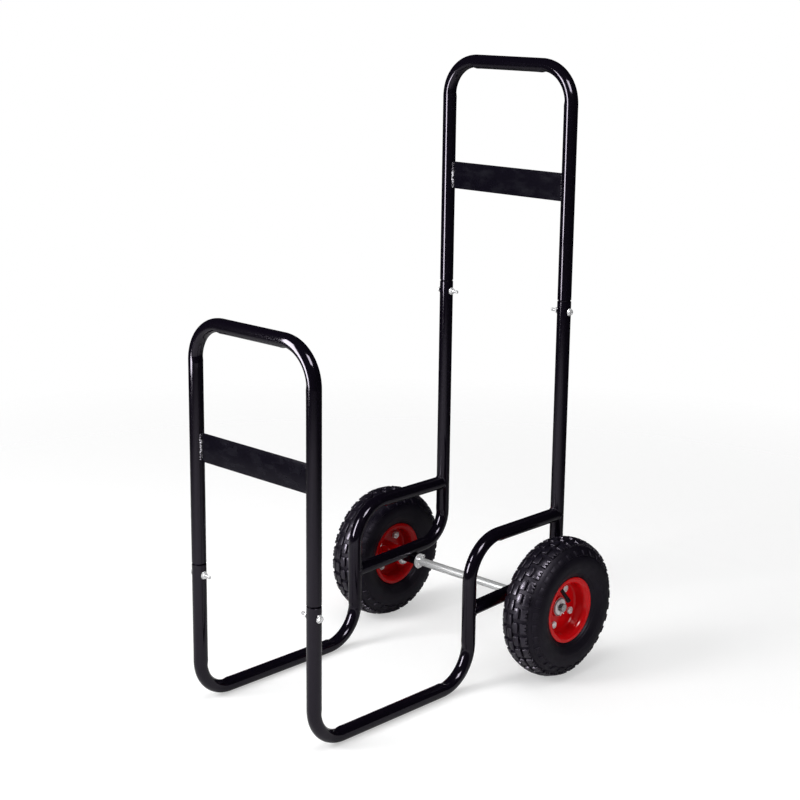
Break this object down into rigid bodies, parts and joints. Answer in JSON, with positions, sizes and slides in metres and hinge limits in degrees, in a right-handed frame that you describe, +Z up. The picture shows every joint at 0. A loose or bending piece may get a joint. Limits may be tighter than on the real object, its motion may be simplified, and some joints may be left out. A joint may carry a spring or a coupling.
{
  "type": "firewood cart",
  "caption": "Firewood rack on wheels: bent-tube frame with a low front hoop, a tall rear hoop as handle, flat crossbars and two pneumatic wheels on a rod axle.",
  "frame": {"origin": "on the floor, under the middle of the whole cart's box", "axes": "+X to the right across the cart, -Y towards the front hoop, +Z up"},
  "size_m": [0.5326, 0.7036, 1.1356],
  "materials": {
    "frame_paint": "gloss black powder coat",
    "crossbar_paint": "satin black powder coat with faint scuffs",
    "zinc": "bright zinc plate",
    "axle_zinc": "zinc plated rod with fine lengthwise streaks",
    "tyre_rubber": "moulded black rubber",
    "tube_rubber": "smooth black rubber",
    "rim_paint": "gloss red enamel",
    "bearing_steel": "plain pressed steel",
    "cap_plastic": "black plastic"
  },
  "bodies": {
    "frame": {"left_side_rail": "frame_paint", "right_side_rail": "frame_paint", "left_rear_post": "frame_paint", "right_rear_post": "frame_paint", "front_hoop": "frame_paint", "rear_hoop": "frame_paint", "front_crossbar": "crossbar_paint", "rear_crossbar": "crossbar_paint", "left_axle_sleeve": "frame_paint", "right_axle_sleeve": "frame_paint", "front_joint_bolts": "zinc", "front_joint_nuts": "zinc", "rear_joint_bolts": "zinc", "rear_joint_nuts": "zinc", "axle": "axle_zinc", "inner_washers": "zinc", "inner_split_pins": "zinc", "thrust_washers": "zinc", "outer_washers": "zinc", "outer_split_pins": "zinc"},
    "left_wheel": {"left_tyre": "tyre_rubber", "left_inner_tube": "tube_rubber", "left_outer_rim": "rim_paint", "left_inner_rim": "rim_paint", "left_hub": "rim_paint", "left_bearings": "bearing_steel", "left_rim_bolts": "zinc", "left_rim_nuts": "zinc", "left_valve_cap": "cap_plastic"},
    "right_wheel": {"right_tyre": "tyre_rubber", "right_inner_tube": "tube_rubber", "right_outer_rim": "rim_paint", "right_inner_rim": "rim_paint", "right_hub": "rim_paint", "right_bearings": "bearing_steel", "right_rim_bolts": "zinc", "right_rim_nuts": "zinc", "right_valve_cap": "cap_plastic"}
  },
  "joints": [
    {"name": "left_wheel_spin", "type": "hinge", "parent": "frame", "child": "left_wheel", "pos_m": [-0.223, 0.2185, 0.133], "axis": [1, 0, 0], "continuous": true},
    {"name": "right_wheel_spin", "type": "hinge", "parent": "frame", "child": "right_wheel", "pos_m": [0.223, 0.2185, 0.133], "axis": [1, 0, 0], "continuous": true}
  ]
}
